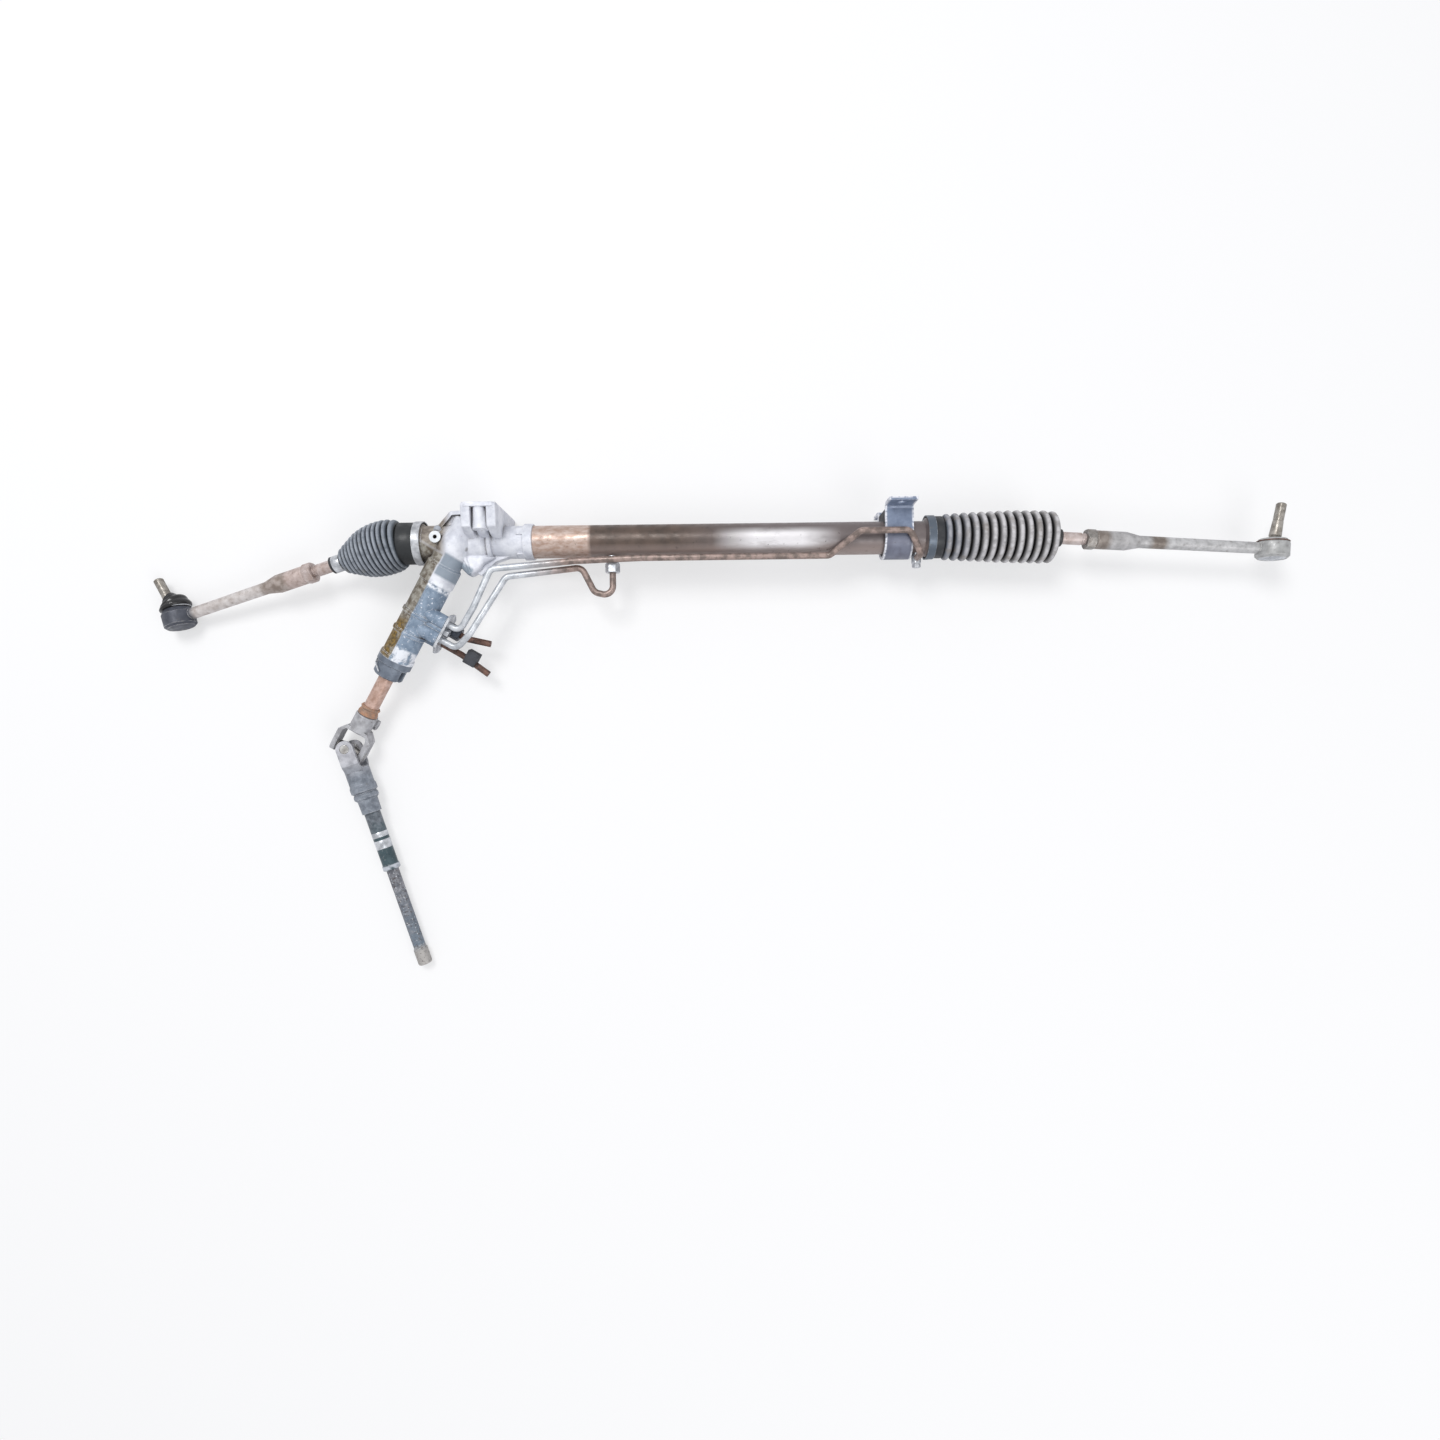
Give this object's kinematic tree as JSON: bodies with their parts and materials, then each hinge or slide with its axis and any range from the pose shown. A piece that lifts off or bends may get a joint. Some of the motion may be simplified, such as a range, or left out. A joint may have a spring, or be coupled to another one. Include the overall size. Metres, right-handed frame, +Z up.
{
  "type": "rack and pinion steering gear",
  "caption": "Hydraulic power steering gear: toothed rack in a steel tube, ribbed cast pinion housing, convoluted bellows, jointed tie rods and a folding, telescoping column shaft.",
  "frame": {"origin": "middle of the two housing bolt holes, on the mounting face", "axes": "+X along the rack from the pinion side to the far side, +Y out of the mounting face towards the crossmember, +Z up as the gear lies on the floor"},
  "size_m": [1.4989, 0.6007, 0.112],
  "materials": {
    "cast_aluminium": "sand cast, dull, with brown road dirt",
    "machined_cap": "dull, stained",
    "zinc_steel": "zinc plated, dulled",
    "bearing_steel": "ground",
    "seal_rubber": "matte black",
    "slipper_aluminium": "machined",
    "plain_steel": "oily, light rust",
    "ring_plastic": "smooth",
    "rusted_tube": "rust brown, glossy with oil",
    "pipe_steel": "zinc plated, partly worn pink-brown",
    "hose_line": "rusty",
    "black_nut": "black",
    "strap_steel": "blue-grey, worn white at the edges",
    "left_rubber": "slate, dusty",
    "right_rubber": "brown-grey dust on black",
    "boot_rubber": "glossy black",
    "input_steel": "copper pink film",
    "yoke_steel": "forged, rusted",
    "shaft_paint": "dark teal paint",
    "shaft_steel": "rusty grey",
    "rod_steel": "pink-brown rust",
    "end_steel": "forged, dirty grey",
    "stud_steel": "bright, thread dirty"
  },
  "bodies": {
    "gear_housing": {"pinion_housing": "cast_aluminium", "valve_end_cap": "machined_cap", "valve_cap_clip": "zinc_steel", "pinion_bearings": "bearing_steel", "input_seal": "seal_rubber", "rack_yoke": "slipper_aluminium", "yoke_spring": "bearing_steel", "yoke_plug": "slipper_aluminium", "yoke_lock_nut": "plain_steel", "rack_bush": "ring_plastic", "rack_tube": "rusted_tube", "tube_collar": "plain_steel", "rack_seals": "seal_rubber", "end_bush": "plain_steel", "pipe_ports": "rusted_tube", "near_transfer_pipe": "pipe_steel", "far_transfer_pipe": "pipe_steel", "port_plate": "zinc_steel", "port_plate_bolt": "zinc_steel", "pressure_line_nut": "black_nut", "pressure_line": "hose_line", "return_line": "hose_line", "line_clip": "seal_rubber", "mounting_strap": "strap_steel", "strap_bush": "seal_rubber", "bellows_clamps": "zinc_steel", "left_bellows": "left_rubber", "right_bellows": "right_rubber"},
    "rack": {"rack_bar": "plain_steel", "rack_piston": "bearing_steel", "piston_ring": "ring_plastic", "inner_sockets": "plain_steel"},
    "pinion": {"pinion_shaft": "plain_steel", "valve_sleeve": "bearing_steel", "input_shaft": "input_steel", "torsion_bar": "bearing_steel", "input_dust_collar": "seal_rubber", "upper_yoke": "yoke_steel", "yoke_pinch_bolt": "yoke_steel", "upper_joint_caps": "bearing_steel"},
    "universal_cross": {"joint_cross": "bearing_steel"},
    "lower_shaft": {"lower_yoke": "yoke_steel", "lower_joint_caps": "bearing_steel", "shaft_tube": "shaft_paint"},
    "sliding_shaft": {"inner_shaft": "shaft_steel"},
    "left_inner_joint": {"left_inner_seat": "ring_plastic"},
    "left_tie_rod": {"left_inner_tie_rod": "rod_steel", "left_lock_nut": "plain_steel", "left_outer_tie_rod_end": "end_steel", "left_closing_cap": "zinc_steel", "left_dust_boot": "boot_rubber"},
    "left_outer_joint": {"left_outer_seat": "ring_plastic"},
    "left_stud": {"left_ball_stud": "stud_steel"},
    "right_inner_joint": {"right_inner_seat": "ring_plastic"},
    "right_tie_rod": {"right_inner_tie_rod": "rod_steel", "right_lock_nut": "plain_steel", "right_outer_tie_rod_end": "end_steel", "right_closing_cap": "zinc_steel"},
    "right_outer_joint": {"right_outer_seat": "ring_plastic"},
    "right_stud": {"right_ball_stud": "stud_steel"}
  },
  "joints": [
    {"name": "rack_slide", "type": "slide", "parent": "gear_housing", "child": "rack", "axis": [1, 0, 0], "range_m": [-0.0937, 0.0468], "deforming": ["left_bellows", "right_bellows"]},
    {"name": "pinion_spin", "type": "hinge", "parent": "gear_housing", "child": "pinion", "pos_m": [-0.038, -0.04255, 0.01456], "axis": [-0.5135, -0.8452, -0.1481], "range_deg": [-722, 362]},
    {"name": "cross_swing", "type": "hinge", "parent": "pinion", "child": "universal_cross", "pos_m": [-0.19823, -0.30625, -0.03165], "axis": [0.8581, -0.5058, -0.0886], "range_deg": [-20, 20]},
    {"name": "shaft_swing", "type": "hinge", "parent": "universal_cross", "child": "lower_shaft", "pos_m": [-0.19823, -0.30625, -0.03165], "axis": [-0.0887, 0.024, -0.9958], "range_deg": [0, 84]},
    {"name": "shaft_telescope", "type": "slide", "parent": "lower_shaft", "child": "sliding_shaft", "axis": [0.3041, -0.9513, -0.05], "range_m": [-0.025, 0.015]},
    {"name": "left_swing", "type": "hinge", "parent": "rack", "child": "left_inner_joint", "pos_m": [-0.1216, -0.04, 0], "axis": [0, 0, 1], "range_deg": [-38, 5.5], "deforming": ["left_bellows"]},
    {"name": "left_lift", "type": "hinge", "parent": "left_inner_joint", "child": "left_tie_rod", "pos_m": [-0.1216, -0.04, 0], "axis": [-0.279, 0.9603, 0], "range_deg": [-5, 18], "deforming": ["left_bellows"]},
    {"name": "left_stud_spin", "type": "hinge", "parent": "left_tie_rod", "child": "left_outer_joint", "pos_m": [-0.42648, -0.12858, -0.03578], "axis": [-0.2753, 0.9608, -0.0323], "continuous": true, "deforming": ["left_dust_boot"]},
    {"name": "left_stud_tilt", "type": "hinge", "parent": "left_outer_joint", "child": "left_stud", "pos_m": [-0.42648, -0.12858, -0.03578], "axis": [-0.1166, 0, 0.9932], "range_deg": [-35.7, 8.3], "deforming": ["left_dust_boot"]},
    {"name": "right_swing", "type": "hinge", "parent": "rack", "child": "right_inner_joint", "pos_m": [0.699, -0.04, 0], "axis": [0, 0, 1], "range_deg": [-18, 25.5], "deforming": ["right_bellows"]},
    {"name": "right_lift", "type": "hinge", "parent": "right_inner_joint", "child": "right_tie_rod", "pos_m": [0.699, -0.04, 0], "axis": [-0.0628, -0.998, 0], "range_deg": [-12, 12], "deforming": ["right_bellows"]},
    {"name": "right_stud_spin", "type": "hinge", "parent": "right_tie_rod", "child": "right_outer_joint", "pos_m": [1.01787, -0.06006, 0], "axis": [0.0628, 0.998, 0], "continuous": true},
    {"name": "right_stud_tilt", "type": "hinge", "parent": "right_outer_joint", "child": "right_stud", "pos_m": [1.01787, -0.06006, 0], "axis": [0, 0, -1], "range_deg": [-30.6, 13.4]}
  ],
  "couplings": [
    {"joint": "pinion_spin", "follows": "rack_slide", "rad_per_m": 134.07}
  ]
}
